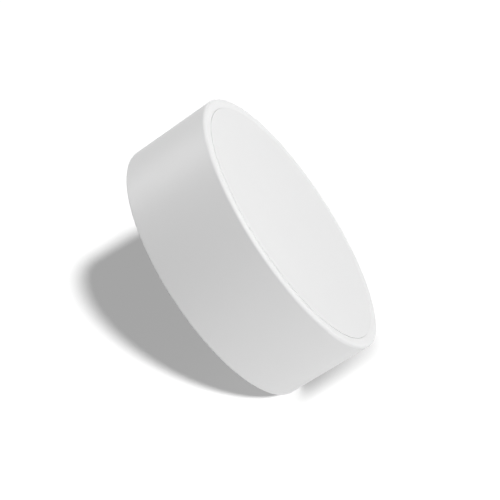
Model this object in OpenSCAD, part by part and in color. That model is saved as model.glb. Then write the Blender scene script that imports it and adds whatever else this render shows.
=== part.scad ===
// Off-ice training puck: a moulded housing and a snap-in face plate round a bolted steel weight.
// The origin is the centre of the rear face, and +Z points out of the inset front face.
// All sizes are in millimetres.

/* [Puck] */
// Outside diameter of the puck
puck_d = 76.2; // [70:0.1:84]
// Overall height of the puck
puck_h = 25.4; // [23:0.1:32]

/* [Housing] */
// Thickness of the side wall
wall_t = 3.6; // [3.3:0.1:4.4]
// Thickness of the rear floor
floor_t = 2.8; // [2:0.1:4]
// Width of the lip round the face plate
lip_w = 2.8; // [2.4:0.1:3.2]
// Radius of the lip's outer edge
lip_edge_r = 0.8; // [0.4:0.1:1.2]
// Width of the crowned part of the lip, next to the face plate
lip_crown_w = 1.4; // [0.8:0.1:1.8]
// Fall of the crown from the top of the lip to its inner edge
lip_crown_h = 0.25; // [0.1:0.05:0.4]
// Radius of the rear face's outer edge
rear_edge_r = 0.4; // [0.2:0.1:1]
// Number of stiffening ribs in the housing
rib_count = 12; // [6:1:18]
// Thickness of the housing's ribs
rib_t = 1.6; // [1.2:0.1:2.4]
// Thickness of the ring wall round the ballast
pocket_t = 1.6; // [1.2:0.1:2.4]
// Outside diameter of the rib ring in the middle of the floor
hub_d = 14; // [10:1:20]

/* [Face plate] */
// Depth of the face below the top of the lip
face_recess = 0.12; // [0.04:0.02:1]
// Thickness of the face plate
face_t = 2.4; // [1.8:0.1:3.2]
// Radius of the face's outer edge
face_edge_r = 0.05; // [0.03:0.01:0.5]
// Thickness of the ribs and rings under the face
face_rib_t = 1.2; // [0.8:0.1:2]
// Depth of the face plate's ribs where they meet the skirt
face_rib_end_h = 2.4; // [1.2:0.1:3.6]
// Number of ribs under the face
face_rib_count = 12; // [6:1:18]
// Outside diameter of the ring that presses on the upper damper
press_ring_d = 44; // [34:1:48]

/* [Snap fit] */
// Number of snap fingers round the skirt
finger_count = 12; // [8:1:16]
// Free length of a finger
finger_len = 8; // [6:0.1:9.5]
// Thickness of a finger
finger_t = 1.5; // [1.2:0.1:2]
// Width of the slot between two fingers
slot_w = 2.4; // [1.6:0.1:4]
// Height of the web between a slot's round end and the root of the fingers
slot_web_h = 1; // [0.5:0.1:2]
// Reach of the finger's bead into the wall
snap_reach = 0.45; // [0.3:0.05:0.7]
// Height of the bead's flat crest
snap_crest_h = 0.8; // [0.4:0.1:1.2]
// Height of the bead's lead-in slope
snap_lead_h = 1.4; // [1:0.1:2]

/* [Seal] */
// Section of the seal ring as squeezed in its gland
seal_d = 1.5; // [1.2:0.1:2]
// Height of the land on each side of the gland
seal_land_h = 1; // [0.8:0.1:1.6]
// Thickness of the skirt behind the gland
seal_back_t = 1.1; // [0.8:0.1:1.6]

/* [Ballast] */
// Diameter of the ballast
ballast_d = 52; // [46:0.5:54]
// Thickness of the ballast
ballast_h = 6; // [5:0.1:8]
// Chamfer on the ballast's edges
ballast_edge = 0.6; // [0.2:0.1:1]
// Thickness of each damper
damper_t = 2; // [1:0.1:3]

/* [Fasteners] */
// Number of ballast screws
screw_count = 3; // [3:1:5]
// Diameter of the circle the screws stand on
screw_pcd = 34; // [30:1:40]
// Thread diameter of a screw
screw_d = 3; // [2.5:0.5:4]
// Diameter of a screw's head
head_d = 5.6; // [5:0.1:6.4]
// Height of a screw's head
head_h = 1.9; // [1.5:0.1:2.4]
// Width across the flats of the screw's hexagon socket
socket_w = 2; // [1.5:0.1:2.5]
// Length of thread held in an insert
thread_len = 4; // [3:0.1:5]
// Diameter of a washer
washer_d = 7; // [6.5:0.1:8]
// Thickness of a washer
washer_t = 0.5; // [0.3:0.1:0.8]
// Outside diameter of a threaded insert
insert_d = 4.6; // [4.4:0.1:5.6]
// Length of a threaded insert
insert_h = 5; // [4:0.1:6]
// Width of the plain band round the middle of an insert
insert_band_h = 1; // [0.6:0.1:1.6]
// Thickness of the boss round an insert
boss_t = 1.8; // [1.2:0.1:2.4]

/* [Clearances] */
// Gap between the face plate and the lip
face_gap = 0.06; // [0.04:0.02:0.3]
// Gap between the skirt and the wall
skirt_gap = 0.15; // [0.1:0.05:0.3]
// Gap round the snap bead in its groove
snap_gap = 0.1; // [0.05:0.05:0.2]
// Gap between the seal ring and the walls it seals on
seal_gap = 0.02; // [0.01:0.01:0.05]
// Endwise play of the seal ring in its gland
seal_play = 0.3; // [0.1:0.1:0.5]
// Gap between the fingers and the housing's ribs
rib_gap = 0.8; // [0.4:0.1:1.2]
// Gap between the ballast and the ring wall
pocket_gap = 0.3; // [0.2:0.1:0.6]
// Gap round a boss in the lower damper
damper_gap = 0.3; // [0.2:0.1:0.6]
// Gap round a screw in the ballast
screw_gap = 0.2; // [0.1:0.05:0.4]
// Gap round a screw's thread in its insert and its washer
thread_gap = 0.03; // [0.02:0.01:0.1]
// Gap round a washer in its counterbore
washer_gap = 0.2; // [0.1:0.05:0.4]
// Gap above a screw's head in its counterbore
head_gap = 0.2; // [0.1:0.1:0.5]
// Gap round an insert in its boss
insert_gap = 0.02; // [0.01:0.01:0.05]
// Depth of the boss's hole past the insert
tip_gap = 1; // [0.5:0.1:1.4]

/* [Hidden] */
$fn = 96;

// Radii from the outside in
outer_r = puck_d / 2;
mouth_r = outer_r - lip_w;
wall_in_r = outer_r - wall_t;
face_r = mouth_r - face_gap;
skirt_r = wall_in_r - skirt_gap;
finger_in_r = skirt_r - finger_t;
gland_r = wall_in_r - seal_d - 2 * seal_gap;
skirt_in_r = gland_r - seal_back_t;
bead_r = wall_in_r + snap_reach;
ballast_r = ballast_d / 2;
pocket_in_r = ballast_r + pocket_gap;
pocket_r = pocket_in_r + pocket_t;
rib_step_r = finger_in_r - rib_gap;
screw_r = screw_d / 2;
boss_r = insert_d / 2 + boss_t;
hub_r = hub_d / 2;

// Heights of the face plate from the top down
face_z = puck_h - face_recess;
ledge_z = face_z - face_t;
gland_h = seal_d + seal_play;
gland_z = ledge_z - seal_land_h - gland_h;
finger_top_z = gland_z - seal_land_h;
finger_z = finger_top_z - finger_len;

// Heights of the stack round the ballast, which sits at half height
ballast_z = (puck_h - ballast_h) / 2;
ballast_top_z = ballast_z + ballast_h;
shelf_z = ballast_z - damper_t;
press_z = ballast_top_z + damper_t;
low_rib_z = finger_z - rib_gap;
pocket_z = ballast_top_z - ballast_edge;

// Heights of a screw
counterbore_h = washer_t + head_h + head_gap;
seat_z = ballast_top_z - counterbore_h;
head_z = seat_z + washer_t;
screw_len = head_z - ballast_z + thread_len;
insert_z = ballast_z - insert_h;

// Overshoot of a cut beyond the face it opens on
over = 1;

// Waste that rounds a square corner, with the corner at the origin and the solid below left
module corner_waste(r) {
  difference() {
    translate([-r, -r]) square(2 * r);
    translate([-r, -r]) circle(r);
  }
}

// Copies of the children on the screw circle
module at_screws() {
  for (i = [0 : screw_count - 1])
    rotate(i * 360 / screw_count)
      translate([screw_pcd / 2, 0, 0])
        children();
}

// Copies of a flat rib, drawn as radius and height, spaced evenly round the axis
module radial_ribs(count, thickness) {
  for (i = [0 : count - 1])
    rotate(i * 360 / count)
      rotate([90, 0, 0])
        translate([0, 0, -thickness / 2])
          linear_extrude(thickness)
            children();
}

// Ring of a rectangular section
module ring(outside_r, inside_r, low_z, high_z) {
  translate([0, 0, low_z])
    difference() {
      cylinder(r = outside_r, h = high_z - low_z);
      translate([0, 0, -over]) cylinder(r = inside_r, h = high_z - low_z + 2 * over);
    }
}

// Section of the snap bead, grown by a gap on every side to give its groove
module bead_section(gap) {
  root_r = skirt_r - skirt_gap;
  lead_z = finger_z + snap_lead_h;
  crest_z = lead_z + snap_crest_h;
  polygon([
    [root_r - finger_t / 2, finger_z - gap],
    [root_r + gap, finger_z - gap],
    [bead_r + gap, lead_z - gap],
    [bead_r + gap, crest_z + gap],
    [root_r, crest_z + bead_r - root_r + 2 * gap],
    [root_r - finger_t / 2, crest_z + bead_r - root_r + 2 * gap]
  ]);
}

// Waste over the lip's crown, which falls in an arc from the top of the lip to its inner edge
module crown_waste() {
  crown_r = (lip_crown_w * lip_crown_w + lip_crown_h * lip_crown_h) / (2 * lip_crown_h);
  difference() {
    translate([mouth_r - over, puck_h - 2 * lip_crown_h]) square([lip_crown_w + over, 2 * lip_crown_h + over]);
    translate([mouth_r + lip_crown_w, puck_h - crown_r]) circle(crown_r);
  }
}

// Section of the housing's cup
module housing_section() {
  difference() {
    square([outer_r, puck_h]);
    translate([0, floor_t]) square([wall_in_r, puck_h]);
    translate([0, ledge_z]) square([mouth_r, puck_h]);
    bead_section(snap_gap);
    translate([outer_r, puck_h]) corner_waste(lip_edge_r);
    crown_waste();
    translate([outer_r, 0]) mirror([0, 1]) corner_waste(rear_edge_r);
  }
}

// Gusset from the ring wall to the side wall, stepped down under the snap fingers
module gusset_section() {
  polygon([
    [pocket_r - pocket_t / 2, floor_t / 2],
    [wall_in_r + wall_t / 2, floor_t / 2],
    [wall_in_r + wall_t / 2, low_rib_z],
    [rib_step_r, low_rib_z],
    [pocket_r, pocket_z],
    [pocket_r - pocket_t / 2, pocket_z]
  ]);
}

// Rib that carries the lower damper, from the hub ring to the ring wall
module shelf_section() {
  translate([hub_r - rib_t / 2, floor_t / 2])
    square([pocket_in_r + pocket_t / 2 - hub_r + rib_t / 2, shelf_z - floor_t / 2]);
}

module boss() {
  translate([0, 0, floor_t / 2]) cylinder(r = boss_r, h = ballast_z - floor_t / 2);
}

module boss_hole() {
  translate([0, 0, insert_z - tip_gap])
    cylinder(r = insert_d / 2 + insert_gap, h = insert_h + tip_gap + over);
}

// White cup with the lip, the ledge for the face plate and the ribbed floor
module housing() {
  color([0.9, 0.9, 0.9])
    difference() {
      union() {
        rotate_extrude() housing_section();
        ring(pocket_r, pocket_in_r, floor_t / 2, pocket_z);
        ring(hub_r, hub_r - rib_t, floor_t / 2, shelf_z);
        radial_ribs(rib_count, rib_t) gusset_section();
        radial_ribs(rib_count, rib_t) shelf_section();
        at_screws() boss();
      }
      at_screws() boss_hole();
    }
}

// Section of the plate, its skirt with the seal gland, and the snap bead
module face_section() {
  skirt_h = ledge_z + face_t / 2 - finger_top_z;
  difference() {
    union() {
      translate([0, ledge_z]) square([face_r, face_t]);
      translate([skirt_in_r, finger_top_z]) square([skirt_r - skirt_in_r, skirt_h]);
      translate([finger_in_r, finger_z]) square([finger_t, finger_top_z + seal_land_h / 2 - finger_z]);
      bead_section(0);
    }
    translate([gland_r, gland_z]) square([skirt_r - gland_r + over, gland_h]);
    translate([face_r, face_z]) corner_waste(face_edge_r);
  }
}

// Slot between two fingers, with a round end
module finger_slot() {
  slot_top_z = finger_top_z - slot_web_h - slot_w / 2;
  translate([finger_in_r - over, -slot_w / 2, finger_z - over])
    cube([bead_r - finger_in_r + 2 * over, slot_w, slot_top_z - finger_z + over]);
  translate([finger_in_r - over, 0, slot_top_z])
    rotate([0, 90, 0])
      cylinder(d = slot_w, h = bead_r - finger_in_r + 2 * over);
}

// Rib under the face, deep over the ballast and shallow at the skirt
module face_rib_section() {
  top_z = ledge_z + face_t / 2;
  polygon([
    [hub_r - face_rib_t / 2, press_z],
    [press_ring_d / 2, press_z],
    [skirt_in_r + seal_back_t / 2, ledge_z - face_rib_end_h],
    [skirt_in_r + seal_back_t / 2, top_z],
    [hub_r - face_rib_t / 2, top_z]
  ]);
}

// White inset face with the slotted snap skirt and the ribs that hold the ballast down
module face_plate() {
  color([0.96, 0.96, 0.96])
    union() {
      difference() {
        rotate_extrude() face_section();
        for (i = [0 : finger_count - 1])
          rotate((i + 0.5) * 360 / finger_count)
            finger_slot();
      }
      ring(hub_r, hub_r - face_rib_t, press_z, ledge_z + face_t / 2);
      ring(press_ring_d / 2, press_ring_d / 2 - face_rib_t, press_z, ledge_z + face_t / 2);
      radial_ribs(face_rib_count, face_rib_t) face_rib_section();
    }
}

// Rubber ring in the gland of the face plate's skirt
module face_seal() {
  color([0.15, 0.15, 0.16])
    rotate_extrude()
      translate([wall_in_r - seal_gap - seal_d / 2, gland_z + gland_h / 2])
        circle(d = seal_d);
}

// Steel disc with chamfered edges and counterbored screw holes
module ballast() {
  color([0.62, 0.64, 0.67])
    difference() {
      rotate_extrude()
        polygon([
          [0, ballast_z],
          [ballast_r - ballast_edge, ballast_z],
          [ballast_r, ballast_z + ballast_edge],
          [ballast_r, ballast_top_z - ballast_edge],
          [ballast_r - ballast_edge, ballast_top_z],
          [0, ballast_top_z]
        ]);
      at_screws() {
        translate([0, 0, ballast_z - over]) cylinder(r = screw_r + screw_gap, h = ballast_h + 2 * over);
        translate([0, 0, seat_z]) cylinder(r = washer_d / 2 + washer_gap, h = counterbore_h + over);
      }
    }
}

// Foam pad on the housing's ribs, cut out round the bosses and the hub ring's bore
module lower_damper() {
  color([0.22, 0.23, 0.25])
    difference() {
      ring(ballast_r, hub_r - rib_t, shelf_z, ballast_z);
      at_screws()
        translate([0, 0, shelf_z - over])
          cylinder(r = boss_r + damper_gap, h = damper_t + 2 * over);
    }
}

// Foam pad between the ballast and the face plate's ribs
module upper_damper() {
  color([0.22, 0.23, 0.25])
    ring(ballast_r - ballast_edge, hub_r - face_rib_t, ballast_top_z, press_z);
}

// Pan-head screw standing on the origin, with its shank along -Z
module screw() {
  difference() {
    rotate_extrude() {
      difference() {
        square([head_d / 2, head_h]);
        translate([head_d / 2, head_h]) corner_waste(head_h / 2);
      }
      polygon([
        [0, head_h / 2],
        [0, -screw_len],
        [screw_r * 2 / 3, -screw_len],
        [screw_r, screw_r / 3 - screw_len],
        [screw_r, head_h / 2]
      ]);
    }
    translate([0, 0, head_h / 3])
      cylinder(d = socket_w / cos(30), h = head_h, $fn = 6);
  }
}

module ballast_screws() {
  color([0.7, 0.71, 0.73])
    at_screws()
      translate([0, 0, head_z])
        screw();
}

module screw_washers() {
  color([0.72, 0.73, 0.75])
    at_screws()
      ring(washer_d / 2, screw_r + thread_gap, seat_z, head_z);
}

// Brass inserts, each with two knurled bands parted by a plain groove
module threaded_inserts() {
  groove_r = (insert_d / 2 + screw_r + thread_gap) / 2;
  middle_z = insert_z + insert_h / 2;
  color([0.78, 0.62, 0.3])
    at_screws()
      difference() {
        ring(insert_d / 2, screw_r + thread_gap, insert_z, ballast_z);
        ring(insert_d, groove_r, middle_z - insert_band_h / 2, middle_z + insert_band_h / 2);
      }
}

housing();
face_plate();
face_seal();
ballast();
lower_damper();
upper_damper();
ballast_screws();
screw_washers();
threaded_inserts();
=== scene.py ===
"""Looks of the white off-ice puck: materials, detailed small pieces, floor, light and camera."""
import math

import bmesh
import bpy
from mathutils import Matrix, Vector
from mathutils.geometry import delaunay_2d_cdt


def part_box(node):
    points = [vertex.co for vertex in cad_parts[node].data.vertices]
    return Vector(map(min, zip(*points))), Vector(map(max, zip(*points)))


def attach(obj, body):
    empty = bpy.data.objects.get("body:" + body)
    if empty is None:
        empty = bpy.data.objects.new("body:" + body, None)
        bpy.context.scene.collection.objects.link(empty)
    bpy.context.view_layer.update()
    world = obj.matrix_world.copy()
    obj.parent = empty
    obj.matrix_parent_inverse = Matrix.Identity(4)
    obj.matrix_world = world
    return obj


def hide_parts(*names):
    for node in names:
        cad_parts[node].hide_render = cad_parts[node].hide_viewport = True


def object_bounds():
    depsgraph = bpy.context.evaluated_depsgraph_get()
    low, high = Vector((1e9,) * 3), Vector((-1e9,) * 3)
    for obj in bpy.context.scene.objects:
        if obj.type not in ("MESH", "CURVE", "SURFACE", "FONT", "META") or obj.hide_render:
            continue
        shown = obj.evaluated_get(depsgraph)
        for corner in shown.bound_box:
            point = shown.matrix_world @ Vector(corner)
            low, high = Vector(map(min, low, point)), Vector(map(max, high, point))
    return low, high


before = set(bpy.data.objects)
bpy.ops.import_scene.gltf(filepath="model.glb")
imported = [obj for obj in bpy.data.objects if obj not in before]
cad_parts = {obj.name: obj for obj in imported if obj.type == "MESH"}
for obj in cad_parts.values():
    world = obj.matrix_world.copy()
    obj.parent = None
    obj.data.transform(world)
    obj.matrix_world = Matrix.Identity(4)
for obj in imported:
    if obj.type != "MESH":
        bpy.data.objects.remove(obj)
cad_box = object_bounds()

MM = 0.001
TURN = 2 * math.pi

# The camera, as fitted to the outline in a 500 px square picture.
# View axes run right, up and back towards the camera.
IMAGE_PX = 500
FOCAL_PX = 1240
SENSOR_MM = 36
CLIP_NEAR = 0.01
CLIP_FAR = 20
AXIS_IN_VIEW = Vector((0.7968, 0.5155, 0.3151))
FRONT_IN_VIEW = Vector((0.01172, 0.00774, -0.32515))

# The floor, as fitted to the shadow: the puck stands like a wheel and leans back on its rear edge.
# The stand angle runs round the puck's axis from +X, to the lowest line of the side wall.
STAND_ANGLE = math.radians(16.8)
LEAN = math.radians(10)
FLOOR_SIZE = 4.0
FLOOR_SHADE = 0.2
FLOOR_GLOW = 0.373
BOUNCE_GLOW = 0.73
# Reach of the painted contact shade: ambient occlusion darkens the floor's colour near the puck
PAINTED_SHADE_REACH = 6 * MM

# Lamps, with their directions in view axes
KEY_FROM = Vector((0.191, 0.146, 0.971))
FLOOR_KEY_STRENGTH = 30
FLOOR_KEY_ANGLE = math.radians(2.8)
LAMP_DISTANCE = 0.7
SOFTBOXES = {
    "top_softbox": {"towards": Vector((0.0, 0.94, 0.34)), "size": 0.5, "power": 1.1},
    "front_softbox": {"towards": KEY_FROM, "size": 0.3, "power": 1.75},
    "side_softbox": {"towards": Vector((0.61, 0.69, 0.39)), "size": 0.4, "power": 1.85},
    "rear_softbox": {"towards": Vector((-0.748, 0.644, -0.162)), "size": 0.35, "power": 1.45},
}
AMBIENT = 0.01

# Shades of the white mouldings, and how far each of them varies
SHELL_SHADE = 0.88
FACE_SHADE = 0.84
SHADE_VARIES = 0.008

# Blender's wave texture turns by this many radians in each unit of scaled length.
WAVE_RADIANS = 20

# Screws and inserts
SHARP_METAL = math.radians(35)
SCREW_COUNT = 3
SCREW_R = 1.5 * MM
SCREW_TIP_R = 1 * MM
THREAD_PITCH = 0.5 * MM
THREAD_DEPTH = 0.27 * MM
THREAD_ROWS = 8
SCREW_STEPS = 24
NECK_H = 0.6 * MM
NECK_R = 1.36 * MM
HEAD_R = 2.8 * MM
HEAD_BREAK = 0.1 * MM
HEAD_ARC_ROWS = 6
SOCKET_W = 2 * MM
SOCKET_CONE_H = 0.3 * MM
INSERT_STEPS = 96
INSERT_BORE_R = 1.53 * MM
INSERT_LEAD = 0.35 * MM
INSERT_BAND_H = 1 * MM
INSERT_GROOVE_R = 1.915 * MM
INSERT_COLLAR_H = 0.3 * MM
INSERT_THREAD_DEPTH = 0.16 * MM
KNURL_COUNT = 24
KNURL_DEPTH = 0.16 * MM
KNURL_LEAD = 2.4 * MM
KNURL_ROWS = 8

# Foam dampers, which swell a little between the ribs that press on them
LOWER_BORE_R = 5.4 * MM
UPPER_BORE_R = 5.8 * MM
BOSS_HOLE_R = 4.4 * MM
PRESS_RING_R = 21.4 * MM
FOAM_SPACING = 1.4 * MM
FOAM_EDGE = 0.4 * MM
FOAM_WALL_ROWS = 6
FOAM_SWELL = 0.22 * MM
SWELL_LAND = 1.8 * MM
SWELL_RUN = 3 * MM
RIB_COUNT = 12
RIB_HALF = 0.8 * MM
SHARP_FOAM = math.radians(60)

# Triangulation of the foam's plan: the whole hull is filled, and points closer than this count as one.
WHOLE_HULL = 0
SAME_POINT = 1e-9


def view_rotation():
    """Rotation from view axes to the CAD frame, with the camera on the -Y side."""
    z_axis = AXIS_IN_VIEW.normalized()
    ahead = Vector((0, 0, -1))
    y_axis = (ahead - ahead.dot(z_axis) * z_axis).normalized()
    return Matrix((y_axis.cross(z_axis), y_axis, z_axis))


VIEW = view_rotation()
TOP_Z = cad_box[1].z
SCREW_RING_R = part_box("ballast_screws")[1].x - HEAD_R
SCREW_ANGLES = [TURN * k / SCREW_COUNT for k in range(SCREW_COUNT)]
SCREW_PLACES = [Vector((math.cos(angle), math.sin(angle), 0)) * SCREW_RING_R for angle in SCREW_ANGLES]


def make_camera():
    """Camera with the fitted lens, in its fitted place."""
    data = bpy.data.cameras.new("camera")
    data.sensor_width = SENSOR_MM
    data.lens = SENSOR_MM * FOCAL_PX / IMAGE_PX
    data.clip_start = CLIP_NEAR
    data.clip_end = CLIP_FAR
    camera = bpy.data.objects.new("camera", data)
    bpy.context.scene.collection.objects.link(camera)
    place = Vector((0, 0, TOP_Z)) - VIEW @ FRONT_IN_VIEW
    camera.matrix_world = Matrix.Translation(place) @ VIEW.to_4x4()
    bpy.context.scene.camera = camera


# Materials

def material(name):
    """A new material with its node tree emptied, and its output node."""
    made = bpy.data.materials.new(name)
    made.use_nodes = True
    made.node_tree.nodes.clear()
    out = made.node_tree.nodes.new("ShaderNodeOutputMaterial")
    return made, made.node_tree, out


def surface(name, **constants):
    """A new material with one principled shader, whose constant inputs are given."""
    made, tree, out = material(name)
    shader = tree.nodes.new("ShaderNodeBsdfPrincipled")
    for socket, value in constants.items():
        shader.inputs[socket.replace("_", " ")].default_value = value
    tree.links.new(shader.outputs["BSDF"], out.inputs["Surface"])
    return made, tree, shader


def spread(tree, value, low, high):
    """A value from 0 to 1 mapped to a range."""
    ranged = tree.nodes.new("ShaderNodeMapRange")
    ranged.inputs["To Min"].default_value = low
    ranged.inputs["To Max"].default_value = high
    tree.links.new(value, ranged.inputs["Value"])
    return ranged.outputs["Result"]


def combine(tree, operation, first, second):
    """Two values in one, by a named operation."""
    made = tree.nodes.new("ShaderNodeMath")
    made.operation = operation
    tree.links.new(first, made.inputs[0])
    tree.links.new(second, made.inputs[1])
    return made.outputs["Value"]


def texture(tree, kind, output, **settings):
    """A texture in object space, with its settings, and one of its outputs."""
    coordinates = tree.nodes.new("ShaderNodeTexCoord")
    made = tree.nodes.new("ShaderNodeTex" + kind)
    for socket, value in settings.items():
        made.inputs[socket].default_value = value
    tree.links.new(coordinates.outputs["Object"], made.inputs["Vector"])
    return made, made.outputs[output]


def noise(tree, scale, detail=3):
    """Noise from 0 to 1, with features about 1 / scale of a metre wide."""
    return texture(tree, "Noise", "Fac", Scale=scale, Detail=detail)[1]


def lathe_rings(tree, spacing):
    """Fine rings round the Z axis, as a turning tool leaves them."""
    scale = TURN / (WAVE_RADIANS * spacing)
    wave, rings = texture(tree, "Wave", "Fac", Scale=scale, Distortion=0.4, Detail=1)
    wave.wave_type = "RINGS"
    wave.rings_direction = "Z"
    return rings


def tint(tree, shader, fac, low, high):
    """Base colour between two colours, by a value from 0 to 1."""
    mix = tree.nodes.new("ShaderNodeMixRGB")
    mix.inputs["Color1"].default_value = (*low, 1)
    mix.inputs["Color2"].default_value = (*high, 1)
    tree.links.new(fac, mix.inputs["Fac"])
    tree.links.new(mix.outputs["Color"], shader.inputs["Base Color"])


def roughen(tree, shader, fac, low, high):
    """Roughness between two values, by a value from 0 to 1."""
    tree.links.new(spread(tree, fac, low, high), shader.inputs["Roughness"])


def relief(tree, shader, *layers):
    """Bump from layers of (height, depth in metres, strength), one over the other."""
    below = None
    for height, depth, strength in layers:
        bump = tree.nodes.new("ShaderNodeBump")
        bump.inputs["Distance"].default_value = depth
        bump.inputs["Strength"].default_value = strength
        tree.links.new(height, bump.inputs["Height"])
        if below:
            tree.links.new(below, bump.inputs["Normal"])
        below = bump.outputs["Normal"]
    tree.links.new(below, shader.inputs["Normal"])


def moulded_plastic(name, shade):
    """White plastic from a lightly grained mould, with a faint flow pattern in its gloss."""
    made, tree, shader = surface(name, IOR=1.46, Specular_IOR_Level=0.5)
    dark = (shade - SHADE_VARIES,) * 3
    pale = (shade + SHADE_VARIES,) * 3
    tint(tree, shader, noise(tree, scale=60), dark, pale)
    roughen(tree, shader, noise(tree, scale=260, detail=4), 0.4, 0.5)
    waves = noise(tree, scale=700, detail=2)
    grain = noise(tree, scale=7000, detail=2)
    relief(tree, shader, (waves, 0.004 * MM, 0.3), (grain, 0.002 * MM, 0.3))
    return made


def rubber(name):
    """Black moulded rubber, dulled in places by bloom."""
    made, tree, shader = surface(name, IOR=1.52, Specular_IOR_Level=0.4)
    tint(tree, shader, noise(tree, scale=500, detail=5), (0.016, 0.016, 0.018), (0.034, 0.034, 0.036))
    roughen(tree, shader, noise(tree, scale=900, detail=4), 0.42, 0.7)
    relief(tree, shader, (noise(tree, scale=4000), 0.01 * MM, 0.5))
    return made


def foam(name):
    """Charcoal cell foam with open pores on its cut faces, whose colour is darker down in each pore as
    painted shade.
    """
    made, tree, shader = surface(name, IOR=1.4, Specular_IOR_Level=0.15)
    pore_depth_and_shade = texture(tree, "Voronoi", "Distance", Scale=2600)[1]
    # Painted shade: the colour is darker down in each pore, where the bump sinks it.
    tint(tree, shader, pore_depth_and_shade, (0.018, 0.019, 0.021), (0.075, 0.077, 0.082))
    roughen(tree, shader, noise(tree, scale=1200), 0.85, 0.98)
    relief(tree, shader, (pore_depth_and_shade, 0.12 * MM, 0.8), (noise(tree, scale=9000), 0.02 * MM, 0.5))
    return made


def turned_steel(name):
    """Bright mild steel with the rings of the lathe and a thin film of oil."""
    made, tree, shader = surface(name, Metallic=1.0, Anisotropic=0.4)
    tint(tree, shader, noise(tree, scale=90, detail=5), (0.47, 0.47, 0.48), (0.6, 0.61, 0.63))
    rings = lathe_rings(tree, spacing=0.35 * MM)
    roughen(tree, shader, rings, 0.26, 0.4)
    relief(tree, shader, (rings, 0.012 * MM, 0.6), (noise(tree, scale=3000), 0.004 * MM, 0.4))
    return made


def plated_steel(name):
    """Bright zinc plate, clouded a little by its passivation."""
    made, tree, shader = surface(name, Metallic=1.0)
    tint(tree, shader, noise(tree, scale=700, detail=4), (0.56, 0.58, 0.62), (0.7, 0.71, 0.72))
    roughen(tree, shader, noise(tree, scale=1500, detail=4), 0.22, 0.42)
    relief(tree, shader, (noise(tree, scale=6000), 0.006 * MM, 0.4))
    return made


def brass(name):
    """Turned brass, a little tarnished."""
    made, tree, shader = surface(name, Metallic=1.0)
    tint(tree, shader, noise(tree, scale=600, detail=5), (0.55, 0.37, 0.13), (0.76, 0.56, 0.24))
    roughen(tree, shader, noise(tree, scale=1800, detail=4), 0.24, 0.46)
    relief(tree, shader, (noise(tree, scale=5000), 0.006 * MM, 0.4))
    return made


def paint(node, made):
    """Gives a CAD node its material."""
    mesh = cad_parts[node].data
    mesh.materials.clear()
    mesh.materials.append(made)


# Meshes of the small pieces

def finished_mesh(shape, name, made, sharp_angle):
    """The mesh of a bmesh, smooth but for its sharp edges."""
    bmesh.ops.recalc_face_normals(shape, faces=shape.faces)
    mesh = bpy.data.meshes.new(name)
    shape.to_mesh(mesh)
    shape.free()
    mesh.shade_smooth()
    mesh.set_sharp_from_angle(angle=sharp_angle)
    mesh.materials.append(made)
    return mesh


def add_band(shape, low, high):
    """Faces between two closed rows of points, either of which may be a single point."""
    steps = max(len(low), len(high))
    for step in range(steps):
        after = (step + 1) % steps
        corners = [low[step % len(low)], low[after % len(low)]]
        corners += [high[after % len(high)], high[step % len(high)]]
        shape.faces.new(list(dict.fromkeys(corners)))


def turned(name, rows, steps, closed, made):
    """A solid round the Z axis from rows of (height, radius).

    A radius may be a function of the angle, and a radius of 0 is a point on the axis.
    Closed rows run round a ring's section.
    """
    shape = bmesh.new()
    rings = []
    for height, radius in rows:
        ring = []
        for step in range(steps if radius else 1):
            angle = TURN * step / steps
            reach = radius(angle) if callable(radius) else radius
            ring.append(shape.verts.new((reach * math.cos(angle), reach * math.sin(angle), height)))
        rings.append(ring)
    for low, high in zip(rings, rings[1:]):
        add_band(shape, low, high)
    if closed:
        add_band(shape, rings[-1], rings[0])
    return finished_mesh(shape, name, made, SHARP_METAL)


def ridge(phase):
    """A wave from 0 to 1, with flat tops and bottoms that each take a quarter of it."""
    return min(1.0, max(0.0, 2 * abs(2 * (phase % 1) - 1) - 0.5))


def thread(height, root, crest):
    """Radius round a screw thread at a height."""
    return lambda angle: root + (crest - root) * ridge(height / THREAD_PITCH - angle / TURN)


def capped(radius, most):
    """A radius function with an upper limit."""
    return lambda angle: min(radius(angle), most)


def thread_rows(low, high, root, crest):
    """Rows of a screw thread between two heights."""
    count = round((high - low) / THREAD_PITCH * THREAD_ROWS)
    heights = [low + (high - low) * row / count for row in range(count + 1)]
    return [(height, thread(height, root, crest)) for height in heights]


def hexagon(half_width):
    """Radius round a hexagon, with flats this far from its middle."""
    side = TURN / 6
    return lambda angle: half_width / math.cos((angle + side / 2) % side - side / 2)


def knurl(height, outer, slant):
    """Radius round a slanted knurl at a height."""
    def radius(angle):
        phase = KNURL_COUNT * angle / TURN + slant * height / KNURL_LEAD
        return outer - KNURL_DEPTH * (1 - abs(2 * (phase % 1) - 1))
    return radius


def screw_mesh(made):
    """Pan-head machine screw with its thread and hexagon socket."""
    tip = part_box("ballast_screws")[0].z
    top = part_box("ballast_screws")[1].z
    under_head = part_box("screw_washers")[1].z
    head_h = top - under_head
    arc_r = head_h / 2
    rows = [(tip, 0), (tip, SCREW_TIP_R)]
    for height, radius in thread_rows(tip, under_head - NECK_H, SCREW_R - THREAD_DEPTH, SCREW_R)[1:]:
        rows.append((height, capped(radius, SCREW_TIP_R + height - tip)))
    rows += [(under_head - NECK_H + HEAD_BREAK, NECK_R), (under_head, NECK_R)]
    rows += [(under_head, HEAD_R - HEAD_BREAK), (under_head + HEAD_BREAK, HEAD_R)]
    for row in range(HEAD_ARC_ROWS + 1):
        turn = TURN / 4 * row / HEAD_ARC_ROWS
        rows.append((top - arc_r + arc_r * math.sin(turn), HEAD_R - arc_r + arc_r * math.cos(turn)))
    socket_floor = under_head + head_h / 3
    rows += [(top, hexagon(SOCKET_W / 2 + HEAD_BREAK)), (top - HEAD_BREAK, hexagon(SOCKET_W / 2))]
    rows += [(socket_floor, hexagon(SOCKET_W / 2)), (socket_floor - SOCKET_CONE_H, 0)]
    return turned("ballast_screw", rows, SCREW_STEPS, False, made)


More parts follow.
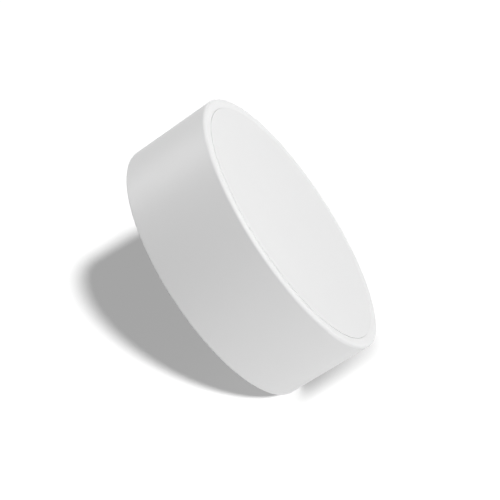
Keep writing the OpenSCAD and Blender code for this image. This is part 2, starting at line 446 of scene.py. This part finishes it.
def insert_mesh(made):
    """Brass insert with two slanted knurls, a plain groove between them and a threaded bore."""
    low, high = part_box("threaded_inserts")[0].z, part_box("threaded_inserts")[1].z
    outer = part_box("threaded_inserts")[1].x - SCREW_RING_R
    groove_low = (low + high - INSERT_BAND_H) / 2
    groove_high = groove_low + INSERT_BAND_H
    collar = high - INSERT_COLLAR_H
    rows = [(low, outer - INSERT_LEAD)]
    for start, end, slant in ((low + INSERT_LEAD, groove_low, 1), (groove_high, collar, -1)):
        for row in range(KNURL_ROWS + 1):
            height = start + (end - start) * row / KNURL_ROWS
            rows.append((height, knurl(height, outer, slant)))
        if end == groove_low:
            rows += [(groove_low, INSERT_GROOVE_R), (groove_high, INSERT_GROOVE_R)]
    rows += [(collar, outer - KNURL_DEPTH), (high, outer - KNURL_DEPTH)]
    bore = thread_rows(low, high, INSERT_BORE_R, INSERT_BORE_R + INSERT_THREAD_DEPTH)
    return turned("threaded_insert", rows + bore[::-1], INSERT_STEPS, True, made)


def seat(piece, node):
    """A piece that stands for a CAD node on the puck's one body."""
    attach(piece, "root")
    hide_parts(node)
    return piece


def place_copies(mesh, node):
    """Copies of a mesh on the screw circle in place of a CAD node."""
    made = []
    for index, place in enumerate(SCREW_PLACES):
        piece = bpy.data.objects.new(f"{mesh.name}_{index + 1}", mesh)
        piece.location = place
        bpy.context.scene.collection.objects.link(piece)
        made.append(seat(piece, node))
    return made


def smooth_step(value):
    """A rise from 0 to 1 that is level at both ends."""
    value = min(1.0, max(0.0, value))
    return value * value * (3 - 2 * value)


def swell(point, edges):
    """How far foam bulges at a point: not on a rib, nor near an edge that is held."""
    from_edge = min(abs((point - centre).length - radius) for centre, radius in edges)
    sector = TURN / RIB_COUNT
    off_rib = math.atan2(point.y, point.x) % sector
    from_rib = point.length * math.sin(min(off_rib, sector - off_rib)) - RIB_HALF
    off_edge = smooth_step((from_edge - SWELL_LAND) / SWELL_RUN)
    return FOAM_SWELL * off_edge * smooth_step(from_rib / SWELL_RUN)


def circle_points(centre, radius):
    """Points on a circle in plan, about one spacing apart."""
    count = round(TURN * radius / FOAM_SPACING)
    angles = [TURN * k / count for k in range(count)]
    return [centre + radius * Vector((math.cos(angle), math.sin(angle))) for angle in angles]


def foam_plan(outer_r, holes):
    """Plan of a pad: its points, the loops round its edges, and its triangles."""
    middle = Vector((0, 0))
    points, loops = [], []
    for centre, radius in [(middle, outer_r)] + holes:
        ring = circle_points(centre, radius)
        loops.append(list(range(len(points), len(points) + len(ring))))
        points += ring
    ring_r = FOAM_SPACING
    while ring_r < outer_r - FOAM_SPACING / 2:
        for point in circle_points(middle, ring_r):
            if all((point - centre).length > radius + FOAM_SPACING / 2 for centre, radius in holes):
                points.append(point)
        ring_r += FOAM_SPACING
    edges = [(loop[k - 1], loop[k]) for loop in loops for k in range(len(loop))]
    triangles = delaunay_2d_cdt(points, edges, [], WHOLE_HULL, SAME_POINT)[2]

    def in_hole(triangle):
        heart = sum((points[k] for k in triangle), middle) / len(triangle)
        return any((heart - centre).length < radius for centre, radius in holes)

    return points, loops, [triangle for triangle in triangles if not in_hole(triangle)]


def foam_pad(name, node, holes, held, swells_up, made):
    """Foam pad with bulged cut edges, swollen between the ribs on one face.

    The holes are (centre, radius) in plan, and held lists other circles that press on the foam.
    """
    low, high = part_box(node)
    rims = [(Vector((0, 0)), high.x - FOAM_EDGE)]
    rims += [(centre, radius + FOAM_EDGE) for centre, radius in holes]
    points, loops, triangles = foam_plan(rims[0][1], rims[1:])
    shape = bmesh.new()
    faces = {}
    for height, is_top in ((low.z, False), (high.z, True)):
        way = 1 if is_top else -1
        lift = [way * swell(point, rims + held) if is_top == swells_up else 0 for point in points]
        places = [(point.x, point.y, height + rise) for point, rise in zip(points, lift)]
        faces[is_top] = [shape.verts.new(place) for place in places]
        for triangle in triangles:
            shape.faces.new([faces[is_top][k] for k in triangle])
    for loop, (centre, radius) in zip(loops, rims):
        outwards = FOAM_EDGE if radius == rims[0][1] else -FOAM_EDGE
        rows = [[faces[False][k] for k in loop]]
        for row in range(1, FOAM_WALL_ROWS):
            share = row / FOAM_WALL_ROWS
            grown = 1 + outwards * math.sin(math.pi * share) / radius
            height = low.z + (high.z - low.z) * share
            plan = [centre + (points[k] - centre) * grown for k in loop]
            rows.append([shape.verts.new((point.x, point.y, height)) for point in plan])
        rows.append([faces[True][k] for k in loop])
        for below, above in zip(rows, rows[1:]):
            add_band(shape, below, above)
    pad = bpy.data.objects.new(name, finished_mesh(shape, name, made, SHARP_FOAM))
    bpy.context.scene.collection.objects.link(pad)
    seat(pad, node)
    return pad


def make_pieces():
    """The detailed pieces that stand for plain CAD nodes."""
    made = place_copies(screw_mesh(plated_steel("screw_zinc")), "ballast_screws")
    made += place_copies(insert_mesh(brass("insert_brass")), "threaded_inserts")
    cut = foam("damper_foam")
    middle = Vector((0, 0))
    bosses = [(place.xy, BOSS_HOLE_R) for place in SCREW_PLACES]
    lower_holes = [(middle, LOWER_BORE_R)] + bosses
    made.append(foam_pad("lower_foam_damper", "lower_damper", lower_holes, [], False, cut))
    upper_holes = [(middle, UPPER_BORE_R)]
    press_ring = [(middle, PRESS_RING_R)]
    made.append(foam_pad("upper_foam_damper", "upper_damper", upper_holes, press_ring, True, cut))
    return made


def paint_cad():
    """Materials of the CAD nodes that stay in view or inside as they are."""
    paint("housing", moulded_plastic("shell_white", SHELL_SHADE))
    paint("face_plate", moulded_plastic("face_white", FACE_SHADE))
    paint("face_seal", rubber("seal_rubber"))
    paint("ballast", turned_steel("ballast_steel"))
    paint("screw_washers", plated_steel("washer_zinc"))


# Floor and light

def seen_white(tree):
    """1 on the rays that show the background: those of the camera, of gloss and of glass."""
    path = tree.nodes.new("ShaderNodeLightPath")
    found = path.outputs["Is Camera Ray"]
    for kind in ("Is Glossy Ray", "Is Transmission Ray"):
        found = combine(tree, "MAXIMUM", found, path.outputs[kind])
    return found


def floor_material():
    """White where the key lamp falls and grey in its shadow, with painted contact shade darkening it
    near the puck, open to view from behind.
    """
    made, tree, out = material("floor_white")
    seen = seen_white(tree)
    # Painted contact shade: ambient occlusion darkens the floor's lit colour near the puck.
    contact_occlusion = tree.nodes.new("ShaderNodeAmbientOcclusion")
    contact_occlusion.inputs["Distance"].default_value = PAINTED_SHADE_REACH
    closed = spread(tree, contact_occlusion.outputs["AO"], 1, 0)
    painted_contact_shade = spread(tree, combine(tree, "MULTIPLY", closed, closed), 1, 0)
    shade = combine(tree, "MULTIPLY", painted_contact_shade, spread(tree, seen, 0, FLOOR_SHADE))
    diffuse = tree.nodes.new("ShaderNodeBsdfDiffuse")
    tree.links.new(shade, diffuse.inputs["Color"])
    glow = tree.nodes.new("ShaderNodeEmission")
    tree.links.new(spread(tree, seen, BOUNCE_GLOW, FLOOR_GLOW), glow.inputs["Strength"])
    lit = tree.nodes.new("ShaderNodeAddShader")
    tree.links.new(diffuse.outputs["BSDF"], lit.inputs[0])
    tree.links.new(glow.outputs["Emission"], lit.inputs[1])
    clear = tree.nodes.new("ShaderNodeBsdfTransparent")
    side = tree.nodes.new("ShaderNodeNewGeometry")
    choose = tree.nodes.new("ShaderNodeMixShader")
    tree.links.new(side.outputs["Backfacing"], choose.inputs["Fac"])
    tree.links.new(lit.outputs["Shader"], choose.inputs[1])
    tree.links.new(clear.outputs["BSDF"], choose.inputs[2])
    tree.links.new(choose.outputs["Shader"], out.inputs["Surface"])
    return made


def make_floor():
    """Floor that touches the lowest point of the housing."""
    down = Vector((math.cos(STAND_ANGLE), math.sin(STAND_ANGLE), 0))
    up = Vector((0, 0, math.sin(LEAN))) - down * math.cos(LEAN)
    lowest = min(vertex.co.dot(up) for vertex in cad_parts["housing"].data.vertices)
    half = FLOOR_SIZE / 2
    corners = [(-half, -half, 0), (half, -half, 0), (half, half, 0), (-half, half, 0)]
    mesh = bpy.data.meshes.new("floor")
    mesh.from_pydata(corners, [], [(0, 1, 2, 3)])
    mesh.materials.append(floor_material())
    floor = bpy.data.objects.new("floor", mesh)
    bpy.context.scene.collection.objects.link(floor)
    turn = up.to_track_quat("Z", "Y").to_matrix().to_4x4()
    floor.matrix_world = Matrix.Translation(up * lowest) @ turn
    return floor


def add_lamp(data, towards, lit):
    """A lamp in a view direction from the puck's middle, which lights these objects alone."""
    lamp = bpy.data.objects.new(data.name, data)
    bpy.context.scene.collection.objects.link(lamp)
    way = (VIEW @ towards).normalized()
    lamp.location = Vector((0, 0, TOP_Z / 2)) + way * LAMP_DISTANCE
    lamp.rotation_mode = "QUATERNION"
    lamp.rotation_quaternion = way.to_track_quat("Z", "Y")
    receivers = bpy.data.collections.new(data.name + "_receivers")
    for item in lit:
        receivers.objects.link(item)
    lamp.light_linking.receiver_collection = receivers


def make_lamps(floor, pieces):
    """The key lamp, which lights the floor alone, and the softboxes, which light the puck."""
    key = bpy.data.lights.new("floor_key", "SUN")
    key.energy = FLOOR_KEY_STRENGTH
    key.angle = FLOOR_KEY_ANGLE
    add_lamp(key, KEY_FROM, [floor])
    for name, box in SOFTBOXES.items():
        data = bpy.data.lights.new(name, "AREA")
        data.size = box["size"]
        data.energy = box["power"]
        add_lamp(data, box["towards"], pieces)


def make_world():
    """White to the eye and in reflections, and a dim sky for the light it gives."""
    world = bpy.data.worlds.new("studio")
    bpy.context.scene.world = world
    world.use_nodes = True
    tree = world.node_tree
    tree.nodes.clear()
    out = tree.nodes.new("ShaderNodeOutputWorld")
    sky = tree.nodes.new("ShaderNodeBackground")
    sky.inputs["Color"].default_value = (1, 1, 1, 1)
    tree.links.new(spread(tree, seen_white(tree), AMBIENT, 1.0), sky.inputs["Strength"])
    tree.links.new(sky.outputs["Background"], out.inputs["Surface"])


make_camera()
paint_cad()
small_pieces = make_pieces()
make_lamps(make_floor(), list(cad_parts.values()) + small_pieces)
make_world()
bpy.context.scene.view_settings.view_transform = "Standard"
